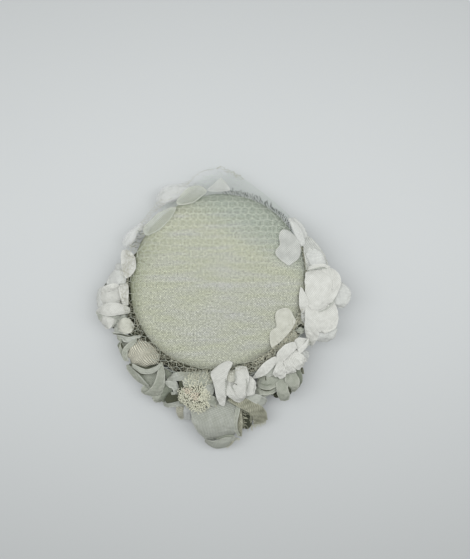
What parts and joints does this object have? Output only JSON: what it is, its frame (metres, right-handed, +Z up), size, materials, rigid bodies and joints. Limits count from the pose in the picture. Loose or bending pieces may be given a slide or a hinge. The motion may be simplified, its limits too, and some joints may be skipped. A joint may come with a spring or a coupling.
{
  "type": "pillbox cap",
  "caption": "Child's round flat-topped linen cap, hollow below for the head, with a net veil over the crown and a wreath of cloth flowers round the wall.",
  "frame": {"origin": "centre of the bounding box, on the plane of the rim", "axes": "+Z up out of the crown's top; -Y towards the front, where the largest flower stands out furthest; +X to the wearer's left"},
  "size_m": [0.2222, 0.253, 0.0554],
  "materials": {
    "linen": "matte woven linen, greyish green, with paler slubs",
    "net": "fine open net of pale thread",
    "white_cloth": "matte white crepe cloth",
    "grey_cloth": "matte warm grey cloth",
    "sage_cloth": "matte sage green cloth",
    "frayed_cloth": "loosely woven cloth with frayed edges",
    "gauze_cloth": "thin open-weave gauze"
  },
  "bodies": {
    "root": {"crown": "linen", "net_veil": "net", "white_rose_south": "white_cloth", "white_rose_southeast": "white_cloth", "white_rose_east": "white_cloth", "frayed_flower_south": "frayed_cloth", "white_flower_west": "white_cloth", "bud_rose_southwest": "sage_cloth", "sage_flower_southeast": "sage_cloth", "grey_rose_south": "grey_cloth", "small_petals_southwest": "grey_cloth", "gauze_petal_on_crown": "gauze_cloth", "cream_petal_on_crown": "gauze_cloth", "leaf_petal_northwest": "gauze_cloth", "long_petal_north": "gauze_cloth", "pointed_petal_north": "gauze_cloth", "cloud_petal_northwest": "gauze_cloth", "low_petal_northwest": "gauze_cloth", "round_petal_west": "gauze_cloth"}
  },
  "joints": []
}
